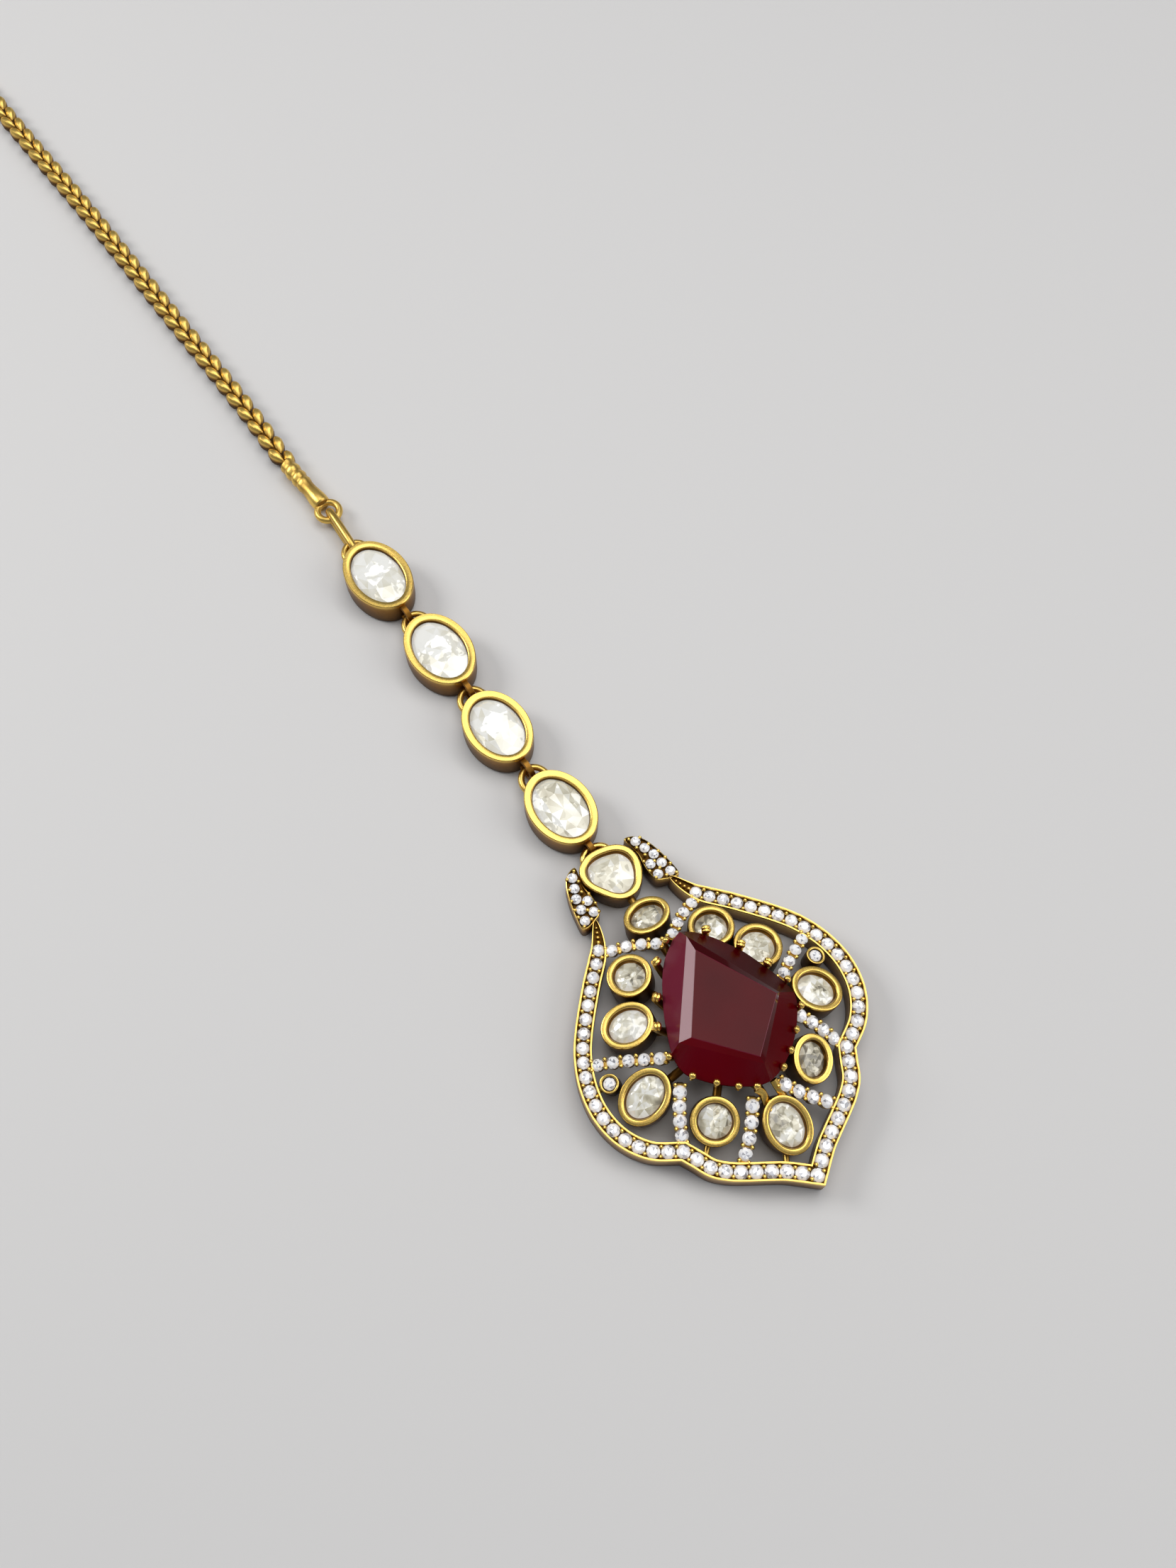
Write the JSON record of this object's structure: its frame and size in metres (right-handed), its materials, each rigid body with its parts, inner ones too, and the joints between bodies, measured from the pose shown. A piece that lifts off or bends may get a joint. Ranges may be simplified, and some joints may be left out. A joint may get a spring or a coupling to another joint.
{
  "type": "maang tikka head jewel",
  "caption": "Head jewel for the hair parting: an arched stone-set pendant with a raised kite stone, oval stone links, a woven chain and a hair hook, lying face up.",
  "frame": {"origin": "on the flat back plate under the big red stone, on the surface that the jewel lies on", "axes": "+Y from the pendant's tip towards the chain and hook, -Z out of the back plate, +Z out of the stones' faces, +X to the right seen from above"},
  "size_m": [0.0339, 0.1996, 0.0096],
  "materials": {
    "gold": "polished yellow gold",
    "ruby_red": "polished deep red stone",
    "clear_stone": "polished clear stone"
  },
  "bodies": {
    "root": {"pendant_setting": "gold", "ruby": "ruby_red", "stone_top": "clear_stone", "stone_ring_1": "clear_stone", "stone_ring_2": "clear_stone", "stone_ring_3": "clear_stone", "stone_ring_4": "clear_stone", "stone_ring_5": "clear_stone", "stone_ring_6": "clear_stone", "stone_ring_7": "clear_stone", "stone_ring_8": "clear_stone", "stone_ring_9": "clear_stone", "stone_ring_10": "clear_stone", "stone_tiny_left": "clear_stone", "stone_tiny_right": "clear_stone", "oval_link_1": "gold", "oval_link_2": "gold", "oval_link_3": "gold", "oval_link_4": "gold", "stone_oval_1": "clear_stone", "stone_oval_2": "clear_stone", "stone_oval_3": "clear_stone", "stone_oval_4": "clear_stone", "jump_link": "gold", "end_cap": "gold", "chain": "gold", "hair_hook": "gold"}
  },
  "joints": []
}
